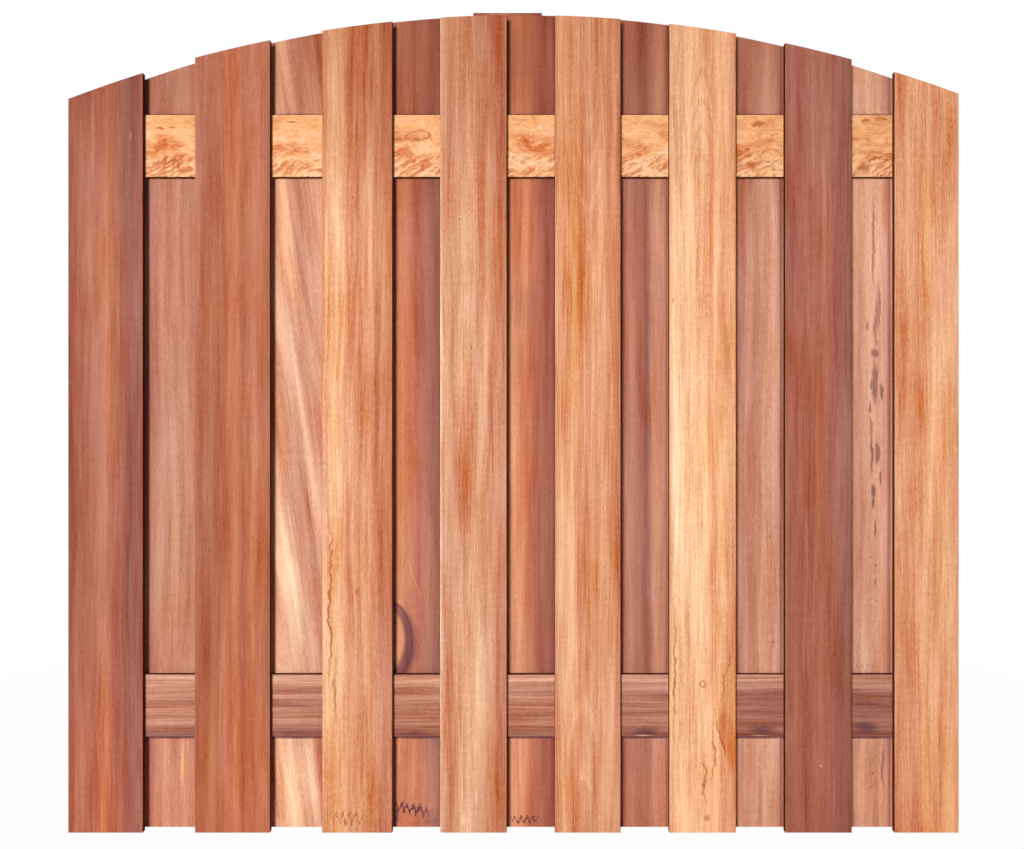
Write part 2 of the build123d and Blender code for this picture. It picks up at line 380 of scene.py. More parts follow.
BACK_WOODS = (
    Wood(
        bands=((0, "clay"), (0.2, "clay"), (0.4, "dusty"), (0.58, "dusty"), (0.7, "dusty"),
               (0.85, "clay"), (1, "brick")),
        light=0.9, top=0.75, foot=0.5, rise=1.26, grain=0.7,
        marks=(
            ("blush", 70, 480, 80, 260, 0.35, 1), ("blush", 76, 560, 14, 330, 0.7, 1, 8),
            ("salmon", 58, 1000, 10, 300, 0.4, 1, 8), ("honey", 88, 130, 7, 80, 0.7, 0.9, 5),
            ("blush", 60, 130, 20, 160, 0.6, 1, 5),
        ),
    ),
    Wood(
        bands=((0, "petal"), (0.2, "petal"), (0.38, "blush"), (0.52, "dusty"), (0.68, "blush"),
               (0.84, "dusty"), (1, "dusty")),
        light=0.94, top=1, foot=0, rise=1.16, wander=14, slant=0.13, streaks=1.8, breadth=1.6, grain=0.8,
        fire=1.4,
        marks=(
            ("apricot", 70, 1330, 90, 330, 0.8, 1, 8), ("honey", 44, 1525, 12, 120, 0.7, 1, 6, -14),
            ("dusty", 80, 1230, 50, 260, 0.5, 1, 8), ("peach", 45, 1180, 20, 220, 0.6, 1, 8, -8),
            ("clay", 72, 1150, 7, 230, 0.7, 1, 6, -9.5), ("dusty", 40, 900, 20, 200, 0.5, 1, 8, -8),
            ("cream", 84, 800, 11, 240, 0.7, 1, 6, -8.5), ("ivory", 50, 520, 24, 250, 0.85, 1, 8, -8),
            ("blush", 58, 560, 6, 200, 0.8, 1, 6, -8), ("cream", 60, 60, 60, 190, 0.75, 1, 6),
            ("ivory", 52, 90, 12, 130, 0.7, 1, 6, -6), ("ivory", 96, 95, 14, 130, 0.6, 1, 6, -6),
        ),
    ),
    Wood(
        bands=((0, "copper"), (0.2, "copper"), (0.36, "terracotta"), (0.52, "brick"), (0.68, "rosewood"),
               (0.85, "plum"), (1, "plum")),
        light=0.99, top=1, foot=0, rise=1.15, grain=0.7,
        marks=(
            ("clay", 70, 1580, 140, 240, 0.9, 1), ("dusty", 80, 500, 70, 260, 0.35, 1),
            ("dusty", 80, 80, 70, 150, 0.35, 1), ("salmon", 34, 610, 2, 90, 0.8, 0.8, 4, -14),
            ("plum", 112, 560, 10, 260, 0.4, 1, 8, -6), ("salmon", 40, 700, 20, 300, 0.4, 1, 8),
            ("salmon", 62, 512, 3.5, 70, 0.85, 0.8, 5, -18), ("stain_and_shadow", 18, 374, 58, 92, 0.8, 0.3, 8),
            ("salmon", 9, 384, 40, 72, 1, 0.3, 6), ("stain_and_shadow", 12, 380, 46, 80, 0.7, 0.8, 6, 0, 0.08),
            ("peach", 22, 352, 18, 36, 0.7, 1, 6), ("salmon", 56, 90, 60, 170, 0.6, 1, 6),
            ("stain_and_shadow", 64, 40, 56, 8, 1, 0.6, 24, 14, 0, (7, 12)), ("stain_and_shadow", 28, 20, 6, 22, 0.6, 0.7, 14),
            ("plum", 100, 12, 24, 12, 0.6, 1, 12),
        ),
    ),
    Wood(
        bands=((0, "salmon"), (0.34, "salmon"), (0.46, "copper"), (0.58, "brick"), (0.74, "garnet"),
               (1, "garnet")),
        light=1.03, top=1, foot=0.5, rise=1.12, grain=0.8,
        marks=(
            ("clay", 70, 1580, 120, 180, 0.6, 1), ("rosewood", 70, 1070, 60, 70, 0.35, 0.9, 20),
            ("umber", 46, 908, 1.8, 4, 0.7), ("ginger", 42, 560, 16, 480, 0.5, 1, 8),
            ("stain_and_shadow", 66, 18, 52, 5, 0.85, 0.6, 14, 0, 0, (5, 12)),
        ),
    ),
    Wood(
        bands=((0, "brick"), (0.2, "brick"), (0.34, "clay"), (0.46, "brick"), (0.56, "rosewood"),
               (0.66, "dusty"), (0.78, "dusty"), (1, "clay")),
        light=0.95, top=0.9, foot=0.3, rise=1.16, grain=0.8,
        marks=(
            ("plum", 76, 900, 5, 560, 0.5, 0.9, 5), ("copper", 92, 900, 5, 520, 0.6, 0.9, 5),
        ),
    ),
    Wood(
        bands=((0, "dusty"), (0.3, "dusty"), (0.5, "dusty"), (0.62, "blush"), (0.74, "blush"),
               (0.86, "dusty"), (1, "clay")),
        light=0.96, top=1, foot=0, rise=1.16, grain=0.7,
        marks=(
            ("blush", 70, 250, 80, 400, 0.35, 1), ("petal", 78, 420, 10, 330, 0.6, 0.9, 8),
            ("garnet", 56, 1340, 16, 60, 0.5, 1, 20), ("rosewood", 40, 1000, 12, 260, 0.35, 1, 12),
            ("petal", 84, 100, 12, 150, 0.6, 1, 6), ("umber", 96, 596, 2.2, 2.2, 0.9, 0.5),
            ("umber", 103, 379, 2.2, 2.2, 0.9, 0.5), ("umber", 96, 41, 2.2, 2.2, 0.9, 0.5),
        ),
    ),
    Wood(
        bands=((0, "blush"), (0.3, "blush"), (0.5, "blush"), (0.68, "blush"), (0.8, "dusty"),
               (1, "dusty")),
        light=1, top=0.2, foot=0, rise=1.07, grain=0.7,
        marks=(
            ("petal", 70, 1350, 80, 300, 0.4, 1), ("dusty", 70, 600, 80, 330, 0.35, 1),
            ("petal", 70, 70, 80, 110, 0.5, 1),
            *blots("rosewood", 0.8, 20, (82, 1200, 4, 120), (86, 1035, 5, 75), (92, 1070, 4, 60),
                   (75, 822, 5, 24), (101, 125, 4, 62)),
            *blots("plum", 0.85, 20, (69, 1026, 3, 12), (85, 969, 10, 14), (84, 910, 9, 58),
                   (76, 905, 4, 16), (99, 892, 5, 26), (75, 858, 4.5, 20), (76, 765, 5, 60),
                   (89, 768, 8, 30), (95, 715, 3, 20)),
            *blots("stain_and_shadow", 0.75, 16, (81, 688, 6, 20), (81, 664, 4, 14), (86, 610, 2.4, 22),
                   (76, 553, 2, 3), (86, 537, 2.4, 4), (84, 500, 1.6, 12), (86, 465, 2, 3),
                   (80, 110, 2.2, 2.2), (76, 80, 2.2, 2.2)),
            ("copper", 107, 1270, 13, 75, 0.9, 0.7, 14), ("salmon", 122, 640, 14, 420, 0.6, 1, 10),
            ("plum", 66, 326, 30, 3, 0.8, 0.7, 22, 0, 0, (9, 11)),
        ),
    ),
)

STILE_WOOD = Wood(bands=((0, "rosewood"), (0.4, "clay"), (0.6, "rosewood"), (1, "garnet")), top=0.4)

LOWER_RAIL_WOOD = Wood(
    bands=((0, "rosewood"), (0.05, "rosewood"), (0.14, "clay"), (0.22, "dusty"), (0.32, "dusty"),
           (0.38, "clay"), (0.44, "dusty"), (0.52, "clay"), (0.58, "clay"), (0.62, "dusty"),
           (0.68, "clay"), (0.78, "dusty"), (0.9, "blush"), (1, "dusty")),
    foot=0, wander=5, grain=1.3, streaks=1.7, breadth=0.45, light=0.93,
    marks=(
        ("rosewood", 60, 1560, 100, 600, 0.8, 1), ("stain_and_shadow", 8, 700, 9, 34, 0.6, 1, 16),
        ("stain_and_shadow", 12, 1168, 14, 40, 0.8, 0.9, 26), ("stain_and_shadow", 14, 1407, 16, 40, 0.8, 0.9, 26),
        ("stain_and_shadow", 18, 1617, 18, 44, 0.8, 0.9, 26), ("ivory", 3, 1400, 1.6, 24, 0.6, 0.8, 4),
        ("ivory", 3, 1165, 1.6, 24, 0.6, 0.8, 4), ("plum", 12, 450, 10, 70, 0.6, 1, 14),
        ("stain_and_shadow", 66, 1617, 5, 44, 0.6, 1, 16), ("plum", 40, 1617, 5, 44, 0.7, 1, 16),
        ("plum", 80, 1400, 2, 60, 0.7, 0.8, 4), ("plum", 60, 1170, 2, 60, 0.6, 0.8, 4),
        ("plum", 62, 450, 3, 80, 0.6, 0.8, 4), ("plum", 30, 700, 4, 70, 0.5, 0.8, 6),
    ),
)

UPPER_RAIL_MARKS = (
    ("rust", 101, 180, 4, 13, 0.9, 0.6, 20), ("rust", 103, 205, 3, 11, 0.7, 0.6, 20),
    ("rust", 112, 449, 2.6, 13, 0.85, 0.6, 8), ("rust", 76, 702, 10, 15, 0.8, 1, 16),
    ("rust", 84, 706, 9, 24, 0.7, 0.6, 16, 0, 0.14), ("rust", 109, 1400, 6, 18, 0.85, 0.5, 26),
    ("rust", 55, 1376, 7, 8, 0.85, 0.6, 26), ("rust", 28, 1384, 6, 13, 0.8, 0.6, 26),
    ("rust", 116, 1614, 4, 12, 0.85, 0.6, 26), ("rust", 120, 1646, 3, 18, 0.8, 0.6, 20),
    ("rust", 20, 1614, 8, 18, 0.85, 0.8, 26),
)


# Sockets given by number below: 0, 1 and 2 of a math node are its terms. A range takes in 0, from 1 to
# 2, and gives 3 to 4. A mix has its share at 0 and its two colours at 6 and 7.
def add(tree, kind, inputs=None, **settings):
    """Adds a node with its settings, fills or links its inputs, and gives back its outputs."""
    node = tree.nodes.new(kind)
    for name, value in settings.items():
        setattr(node, name, value)
    for key, value in (inputs or {}).items():
        if isinstance(value, bpy.types.NodeSocket):
            tree.links.new(value, node.inputs[key])
        else:
            node.inputs[key].default_value = value
    return node.outputs


def colour(name):
    """A tone of this scene with full alpha."""
    return (*getattr(bpy.context.scene.fence_tones, name), 1)


def fill_ramp(tree, stops):
    """Gives the colour ramp that was added last these pairs of a place and a tone."""
    ramp = tree.nodes[-1].color_ramp
    while len(ramp.elements) < len(stops):
        ramp.elements.new(1)
    for element, (place, _) in zip(ramp.elements, stops):
        element.position = place
    for element, (_, name) in zip(ramp.elements, stops):
        element.color = colour(name)


def new_tree(name):
    """A new material with an empty node tree."""
    material = bpy.data.materials.new(name)
    material.use_nodes = True
    material.node_tree.nodes.clear()
    return material, material.node_tree


def plank_places(tree, node, upright, seed):
    """Sockets for the distance across, into and along a plank, and a shift that sets its grain apart."""
    low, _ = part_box(node)
    whole = add(tree, "ShaderNodeTexCoord")["Object"]
    place = add(tree, "ShaderNodeMapping", {"Vector": whole, "Location": -low})[0]
    parts = add(tree, "ShaderNodeSeparateXYZ", {0: place})
    across, along = (parts["X"], parts["Z"]) if upright else (parts["Z"], parts["X"])
    shift = (seed * 1.37, seed * 0.71, seed * 2.93)
    return across, parts["Y"], along, shift


def streaky(tree, place, width, stretch, detail):
    """Noise from 0 to 1 in streaks of about this width, stretched so many times along the grain."""
    close = 0.8 / width
    scaled = add(tree, "ShaderNodeVectorMath", {0: place, 1: (close, close, close / stretch)},
                 operation="MULTIPLY")[0]
    return add(tree, "ShaderNodeTexNoise", {"Vector": scaled, "Scale": 1, "Detail": detail,
                                            "Roughness": 0.6})[0]


def grained(tree, base, value, fire=1):
    """Wood made lighter or darker by its grain. Dark grain is redder: green changes more than red,
    and blue more still, by as much as the fire says."""
    green, blue = 0.45 * fire, 0.75 * fire
    slopes = (1, 1 + green, 1 + blue)
    share = add(tree, "ShaderNodeVectorMath", {0: value, 1: slopes, 2: (0, -green, -blue)},
                operation="MULTIPLY_ADD")[0]
    return add(tree, "ShaderNodeVectorMath", {0: base, 1: share}, operation="MULTIPLY")[0]


def front_only(tree):
    """A mask that is 1 on faces that look to the front."""
    normal = add(tree, "ShaderNodeSeparateXYZ", {0: add(tree, "ShaderNodeTexCoord")["Normal"]})["Y"]
    return add(tree, "ShaderNodeMapRange", {0: normal, 1: -0.6, 2: -0.9, 3: 0, 4: 1})[0]


def add_flame(tree, base, flat, waver, flame):
    """Lays nested arches of another tone over the base colour, on the front only."""
    middle = (flame.across * MM, 0, flame.along * MM)
    size = (flame.wide * MM, 1, flame.tall * MM)
    unit = add(tree, "ShaderNodeMapping", {"Vector": flat, "Location": middle, "Scale": size},
               vector_type="TEXTURE")[0]
    parts = add(tree, "ShaderNodeSeparateXYZ", {0: unit})
    square = add(tree, "ShaderNodeMath", {0: parts["X"], 1: parts["X"]}, operation="MULTIPLY")[0]
    level = add(tree, "ShaderNodeMath", {0: parts["Z"], 1: flame.tip, 2: square},
                operation="MULTIPLY_ADD")[0]
    rough = add(tree, "ShaderNodeMath", {0: waver, 1: 0.35, 2: level}, operation="MULTIPLY_ADD")[0]
    turns = add(tree, "ShaderNodeMath", {0: rough, 1: flame.rings * math.tau}, operation="MULTIPLY")[0]
    rings = add(tree, "ShaderNodeMath", {0: turns}, operation="SINE")[0]
    stripe = add(tree, "ShaderNodeMapRange", {0: rings, 1: 0.4, 2: 1, 3: 0, 4: flame.strength}, **SMOOTH)[0]
    reach = add(tree, "ShaderNodeVectorMath", {0: unit}, operation="LENGTH")["Value"]
    inside = add(tree, "ShaderNodeMapRange", {0: reach, 1: 0.55, 2: 1, 3: 1, 4: 0}, **SMOOTH)[0]
    mask = add(tree, "ShaderNodeMath", {0: stripe, 1: inside}, operation="MULTIPLY")[0]
    mask = add(tree, "ShaderNodeMath", {0: mask, 1: front_only(tree)}, operation="MULTIPLY")[0]
    return add(tree, "ShaderNodeMix", {0: mask, 6: base, 7: colour(flame.tone)}, data_type="RGBA")[2]


def add_mark(tree, base, flat, jitter, front, mark):
    """Lays one streak, stain, speck or knot over the base colour."""
    place = flat
    if mark.ragged:
        reach = mark.ragged * MM
        place = add(tree, "ShaderNodeVectorMath", {0: jitter, 1: (reach, 0, reach), 2: place},
                    operation="MULTIPLY_ADD")[0]
    if mark.wave:
        rise, period = (size * MM for size in mark.wave)
        shaky = add(tree, "ShaderNodeTexNoise", {"Vector": flat, "Scale": 1 / period, "Detail": 1})["Color"]
        place = add(tree, "ShaderNodeVectorMath", {0: shaky, 1: (period, 0, rise), 2: place},
                    operation="MULTIPLY_ADD")[0]
        parts = add(tree, "ShaderNodeSeparateXYZ", {0: place})
        turns = add(tree, "ShaderNodeMath", {0: parts["X"], 1: math.tau / period}, operation="MULTIPLY")[0]
        swing = add(tree, "ShaderNodeMath", {0: turns}, operation="SINE")[0]
        lifted = add(tree, "ShaderNodeMath", {0: swing, 1: rise, 2: parts["Z"]},
                     operation="MULTIPLY_ADD")[0]
        place = add(tree, "ShaderNodeCombineXYZ", {0: parts["X"], 1: parts["Y"], 2: lifted})[0]
    middle = (mark.across * MM, 0, mark.along * MM)
    turn = (0, math.radians(mark.turn), 0)
    size = (mark.wide * MM, 1, mark.tall * MM)
    unit = add(tree, "ShaderNodeMapping", {"Vector": place, "Location": middle, "Rotation": turn,
                                           "Scale": size}, vector_type="TEXTURE")[0]
    reach = add(tree, "ShaderNodeVectorMath", {0: unit}, operation="LENGTH")["Value"]
    if mark.ring:
        off = add(tree, "ShaderNodeMath", {0: reach, 1: -1}, operation="ADD")[0]
        reach = add(tree, "ShaderNodeMath", {0: off, 1: 0}, operation="ABSOLUTE")[0]
        reach = add(tree, "ShaderNodeMath", {0: reach, 1: mark.ring}, operation="DIVIDE")[0]
    mask = add(tree, "ShaderNodeMapRange", {0: reach, 1: 1 - mark.soft, 2: 1, 3: mark.strength, 4: 0},
               **SMOOTH)[0]
    mask = add(tree, "ShaderNodeMath", {0: mask, 1: front}, operation="MULTIPLY")[0]
    return add(tree, "ShaderNodeMix", {0: mask, 6: base, 7: colour(mark.tone)}, data_type="RGBA")[2]


def add_marks(tree, base, flat, own, marks):
    """Lays all marks of a piece over its colour."""
    front = front_only(tree)
    jitter = add(tree, "ShaderNodeTexNoise", {"Vector": own, "Scale": RAGGED_SCALE, "Detail": 5,
                                              "Roughness": 0.62})["Color"]
    jitter = add(tree, "ShaderNodeVectorMath", {0: jitter, 1: (-0.5, -0.5, -0.5)}, operation="ADD")[0]
    for row in marks:
        base = add_mark(tree, base, flat, jitter, front, Mark(*row))
    return base


def finish_wood(tree, base, deep, fine, pores, upright):
    """Adds painted shade in grooves and on eased edges, a painted highlight on eased edges, painted
    shade on side faces, sawn ends, roughness and relief to a wood colour, and joins it to the output.
    Dry oiled wood has hardly any gloss, so its specular level is low."""
    sizes = bpy.context.scene.fence_sizes
    coordinate = add(tree, "ShaderNodeTexCoord")
    normal = add(tree, "ShaderNodeSeparateXYZ", {0: coordinate["Normal"]})
    side = add(tree, "ShaderNodeMath", {0: normal["X" if upright else "Z"]}, operation="ABSOLUTE")[0]
    # Painted highlight on eased edges, and painted shade on sides that face another board and, a little, on
    # the panel's two ends
    edge_highlight = add(tree, "ShaderNodeMapRange", {0: side, 1: 0.1, 2: 0.4, 3: 1, 4: EDGE_LIGHT})[0]
    aside = add(tree, "ShaderNodeSeparateXYZ", {0: coordinate["Object"]})["X"]
    aside = add(tree, "ShaderNodeMath", {0: aside}, operation="ABSOLUTE")[0]
    shut_in = add(tree, "ShaderNodeMapRange", {0: aside, 1: RIGHT_END - 1 * MM, 2: RIGHT_END,
                                               3: SIDE_LIGHT, 4: END_LIGHT})[0]
    side = add(tree, "ShaderNodeMapRange", {0: side, 1: 0.6, 2: 0.95, 3: edge_highlight, 4: shut_in})[0]
    base = add(tree, "ShaderNodeHueSaturation", {"Value": side, "Color": base})[0]
    # Painted shade in the grooves and on the eased edges, stronger on the rails than on the boards
    groove_shade = GROOVE_SHADE_UPRIGHT if upright else GROOVE_SHADE_LEVEL
    sunk = add(tree, "ShaderNodeMapRange", {0: deep, 1: GROOVE_SHADE_GROWS[0], 2: GROOVE_SHADE_GROWS[1], 3: 0, 4: groove_shade})[0]
    shallow = add(tree, "ShaderNodeMapRange", {0: deep, 1: GROOVE_SHADE_FADES[0], 2: GROOVE_SHADE_FADES[1], 3: 1, 4: 0})[0]
    shaded_groove = add(tree, "ShaderNodeMath", {0: sunk, 1: shallow}, operation="MULTIPLY")[0]
    darker = add(tree, "ShaderNodeHueSaturation", {"Value": 0.4, "Color": base})[0]
    base = add(tree, "ShaderNodeMix", {0: shaded_groove, 6: base, 7: darker}, data_type="RGBA")[2]
    facing = add(tree, "ShaderNodeMath", {0: normal["Z" if upright else "X"]}, operation="ABSOLUTE")[0]
    sawn = add(tree, "ShaderNodeMapRange", {0: facing, 1: 0.6, 2: 0.8, 3: 0, 4: 1})[0]
    vessels = add(tree, "ShaderNodeTexNoise", {"Vector": coordinate["Object"], "Detail": 2,
                                               "Scale": 1 / sizes.grain_width})[0]
    depth = add(tree, "ShaderNodeMapRange", {0: vessels, 1: 0.35, 2: 0.65, 3: 0.5, 4: 0.85})[0]
    end = add(tree, "ShaderNodeHueSaturation", {"Color": base, "Value": depth, "Saturation": 1.08})[0]
    shade = add(tree, "ShaderNodeMix", {0: sawn, 6: base, 7: end}, data_type="RGBA")[2]
    height = add(tree, "ShaderNodeMath", {0: pores, 1: -1, 2: fine}, operation="MULTIPLY_ADD")[0]
    bump = add(tree, "ShaderNodeBump", {"Height": height, "Strength": 0.4, "Distance": sizes.pore_depth})[0]
    rough = add(tree, "ShaderNodeMapRange", {0: fine, 1: 0.3, 2: 0.7, 3: 0.75, 4: 0.6})[0]
    shader = add(tree, "ShaderNodeBsdfPrincipled", {"Base Color": shade, "Roughness": rough,
                                                    "Normal": bump, "Specular IOR Level": 0.02})[0]
    add(tree, "ShaderNodeOutputMaterial", {"Surface": shader})


def planed_hardwood(name, wood, node, seed, upright=True, painted_shadows=()):
    """Planed and oiled tropical hardwood: long stripes of red, pink and tan heartwood that wander a
    little along the board, a fine straight grain, short dark pores and a matt, oiled surface."""
    sizes = bpy.context.scene.fence_sizes
    low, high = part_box(node)
    width = (high.x - low.x) if upright else (high.z - low.z)
    material, tree = new_tree(name)
    across, deep, along, shift = plank_places(tree, node, upright, seed)
    flat = add(tree, "ShaderNodeCombineXYZ", {0: across, 1: deep, 2: along})[0]
    own = add(tree, "ShaderNodeVectorMath", {0: flat, 1: shift}, operation="ADD")[0]

    slow = add(tree, "ShaderNodeVectorMath", {0: own, 1: DRIFT_SCALE}, operation="MULTIPLY")[0]
    drift = add(tree, "ShaderNodeTexNoise", {"Vector": slow, "Scale": 1, "Detail": 2})[0]
    reach = wood.wander * MM * 2
    aside = add(tree, "ShaderNodeMath", {0: drift, 1: reach, 2: -reach / 2}, operation="MULTIPLY_ADD")[0]
    bent = add(tree, "ShaderNodeMath", {0: across, 1: aside}, operation="ADD")[0]
    leaning = add(tree, "ShaderNodeMath", {0: along, 1: wood.slant, 2: bent}, operation="MULTIPLY_ADD")[0]
    grain = add(tree, "ShaderNodeCombineXYZ", {0: leaning, 1: deep, 2: along})[0]
    grain = add(tree, "ShaderNodeVectorMath", {0: grain, 1: shift}, operation="ADD")[0]

    share = add(tree, "ShaderNodeMath", {0: bent, 1: 1 / width}, operation="MULTIPLY")[0]
    base = add(tree, "ShaderNodeValToRGB", {0: share})["Color"]
    fill_ramp(tree, wood.bands)

    fine = streaky(tree, grain, sizes.grain_width, stretch=40, detail=3)
    wide = streaky(tree, grain, sizes.streak_width * wood.breadth, stretch=26 / wood.breadth, detail=1)
    clouds = streaky(tree, grain, sizes.streak_width * 3, stretch=7, detail=2)
    mottle = streaky(tree, own, sizes.grain_width * 0.6, stretch=5, detail=2)
    cross = streaky(tree, own, 30 * MM, stretch=0.25, detail=1)

    for flame in wood.flames:
        base = add_flame(tree, base, flat, fine, flame)
    base = add_marks(tree, base, flat, own, wood.marks + painted_shadows)

    parts = ((fine, FINE * wood.grain), (wide, WIDE * wood.streaks), (clouds, CLOUDS), (mottle, MOTTLE),
             (cross, wood.ripple))
    value = 1 - sum(strength for _, strength in parts) / 2
    for socket, strength in parts:
        value = add(tree, "ShaderNodeMath", {0: socket, 1: strength, 2: value},
                    operation="MULTIPLY_ADD")[0]
    lift = add(tree, "ShaderNodeMapRange", {0: along, 1: 0, 2: LIGHT_END, 3: wood.light * wood.rise,
                                            4: wood.light}, **SMOOTH)[0]
    base = grained(tree, base, value, wood.fire)
    hue = add(tree, "ShaderNodeMath", {0: wide, 1: HUE_SWING, 2: 0.5 - HUE_SWING / 2},
              operation="MULTIPLY_ADD")[0]
    rich = add(tree, "ShaderNodeMath", {0: clouds, 1: -RICH_SWING, 2: 1 + RICH_SWING / 2},
               operation="MULTIPLY_ADD")[0]
    base = add(tree, "ShaderNodeHueSaturation", {"Hue": hue, "Saturation": rich, "Value": lift,
                                                 "Color": base})[0]
    top = add(tree, "ShaderNodeMapRange", {0: along, 1: SHADE_START, 2: SHADE_END, 3: 0, 4: wood.top},
              **SMOOTH)[0]
    base = add(tree, "ShaderNodeMix", {0: top, 6: base, 7: colour("shade")}, data_type="RGBA",
               blend_type="MULTIPLY")[2]
    foot = add(tree, "ShaderNodeMapRange", {0: along, 1: 0, 2: WARMTH_END, 3: wood.foot, 4: 0}, **SMOOTH)[0]
    base = add(tree, "ShaderNodeMix", {0: foot, 6: base, 7: colour("warmth")}, data_type="RGBA",
               blend_type="MULTIPLY")[2]

    specks = streaky(tree, own, sizes.pore_width, sizes.pore_length / sizes.pore_width, detail=0)
    pores = add(tree, "ShaderNodeMapRange", {0: specks, 1: 0.6, 2: 0.76, 3: 0, 4: wood.pores}, **SMOOTH)[0]
    dark = add(tree, "ShaderNodeHueSaturation", {"Value": 0.5, "Saturation": 1.15, "Color": base})[0]
    base = add(tree, "ShaderNodeMix", {0: pores, 6: base, 7: dark}, data_type="RGBA")[2]

    finish_wood(tree, base, deep, fine, pores, upright)
    return material


def figured_hardwood(name, node, seed):
    """Planed and oiled hardwood with a wild figure: amber ground, ragged orange flames along the
    rail, and pale slanting ripples that run through its lower half."""
    sizes = bpy.context.scene.fence_sizes
    material, tree = new_tree(name)
    across, deep, along, shift = plank_places(tree, node, False, seed)
    flat = add(tree, "ShaderNodeCombineXYZ", {0: across, 1: deep, 2: along})[0]
    own = add(tree, "ShaderNodeVectorMath", {0: flat, 1: shift}, operation="ADD")[0]
    swirl = add(tree, "ShaderNodeTexNoise", {"Vector": own, "Scale": 1 / (62.5 * MM), "Detail": 3})["Color"]
    swirl = add(tree, "ShaderNodeVectorMath", {0: swirl, 1: (-0.5, -0.5, -0.5)}, operation="ADD")[0]
    bent = add(tree, "ShaderNodeVectorMath", {0: swirl, 1: (50 * MM, 50 * MM, 60 * MM), 2: own},
               operation="MULTIPLY_ADD")[0]
    figure = streaky(tree, bent, 22 * MM, stretch=3.5, detail=3)
    middle = add(tree, "ShaderNodeMapRange", {0: across, 1: 95 * MM, 2: 75 * MM, 3: 0.55, 4: 1.25},
                 **SMOOTH)[0]
    ground = 0.46
    centred = add(tree, "ShaderNodeMath", {0: figure, 1: -ground}, operation="ADD")[0]
    level = add(tree, "ShaderNodeMath", {0: centred, 1: middle, 2: ground}, operation="MULTIPLY_ADD")[0]
    base = add(tree, "ShaderNodeValToRGB", {0: level})["Color"]
    fill_ramp(tree, ((0.3, "cream"), (0.4, "honey"), (0.48, "amber"), (0.56, "ginger"), (0.62, "flame"),
                     (0.665, "rust"), (0.7, "flame"), (0.74, "rust")))
    turned = add(tree, "ShaderNodeMapping", {"Vector": bent, "Rotation": (0, math.radians(-32), 0)})[0]
    waves = streaky(tree, turned, 5 * MM, stretch=7, detail=1)
    lower = add(tree, "ShaderNodeMapRange", {0: across, 1: 25 * MM, 2: 60 * MM, 3: 0.9, 4: 0.1},
                **SMOOTH)[0]
    for peak, name in ((0.62, "cream"), (0.34, "copper")):
        share = add(tree, "ShaderNodeMapRange", {0: waves, 1: ground, 2: peak, 3: 0, 4: 1}, **SMOOTH)[0]
        share = add(tree, "ShaderNodeMath", {0: share, 1: lower}, operation="MULTIPLY")[0]
        base = add(tree, "ShaderNodeMix", {0: share, 6: base, 7: colour(name)}, data_type="RGBA")[2]
    fine = streaky(tree, bent, sizes.grain_width, stretch=10, detail=3)
    value = add(tree, "ShaderNodeMath", {0: fine, 1: 0.8, 2: 0.6}, operation="MULTIPLY_ADD")[0]
    base = grained(tree, base, value)
    pores = add(tree, "ShaderNodeMapRange", {0: fine, 1: 0.7, 2: 0.8, 3: 0, 4: 0.2})[0]
    base = add_marks(tree, base, flat, own, UPPER_RAIL_MARKS)
    finish_wood(tree, base, deep, fine, pores, False)
    return material


def stainless_steel(name):
    """Cold-formed stainless steel, tumbled after the thread was rolled: a grey metal with a soft,
    slightly uneven shine."""
    material, tree = new_tree(name)
    place = add(tree, "ShaderNodeTexCoord")["Object"]
    cloud = add(tree, "ShaderNodeTexNoise", {"Vector": place, "Scale": STEEL_SCALE, "Detail": 2})[0]
    rough = add(tree, "ShaderNodeMapRange", {0: cloud, 1: 0.3, 2: 0.7, 3: 0.28, 4: 0.44})[0]
    bump = add(tree, "ShaderNodeBump", {"Height": cloud, "Strength": 0.2, "Distance": 0.05 * MM})[0]
    shader = add(tree, "ShaderNodeBsdfPrincipled", {"Base Color": colour("steel"), "Metallic": 1,
                                                    "Roughness": rough, "Normal": bump})[0]
    add(tree, "ShaderNodeOutputMaterial", {"Surface": shader})
    return material


def finish_node(node, material):
    """Gives a piece of the frame its material."""
    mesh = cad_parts[node].data
    mesh.materials.clear()
    mesh.materials.append(material)


def screw_spots(node):
    """Middle of each screw head on its flat side, and the screw's length, from the frame's node. They
    come from left to right, and the pieces of a mesh are taken in its own order, so that each run
    gives the same result."""
    mesh = bmesh.new()
    mesh.from_mesh(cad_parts[node].data)
    bmesh.ops.remove_doubles(mesh, verts=mesh.verts, dist=0.01 * MM)
    mesh.verts.index_update()
    seen = set()
    spots = []
    for first in mesh.verts:
        if first in seen:
            continue
        seen.add(first)
        group = [first]
        for vert in group:
            for edge in vert.link_edges:
                other = edge.other_vert(vert)
                if other not in seen:
                    seen.add(other)
                    group.append(other)
        group.sort(key=lambda v: v.index)
        rear = max(v.co.y for v in group)
        head = [v.co for v in group if v.co.y > rear - 0.1 * MM]
        middle = sum(head, Vector()) / len(head)
        spots.append((middle, rear - min(v.co.y for v in group)))
    mesh.free()
    return sorted(spots, key=lambda spot: tuple(round(share / MM) for share in spot[0]))


def settle_order(mesh):
    """Sorts edges and faces by their vertices, since an extrusion may leave them in any order."""
    mesh.verts.index_update()
    count = len(mesh.verts)

    def rank(part):
        numbers = sorted(vert.index for vert in part.verts)
        return (numbers[0] * count + numbers[1]) * count + numbers[-1]

    mesh.edges.sort(key=rank)
    mesh.faces.sort(key=rank)


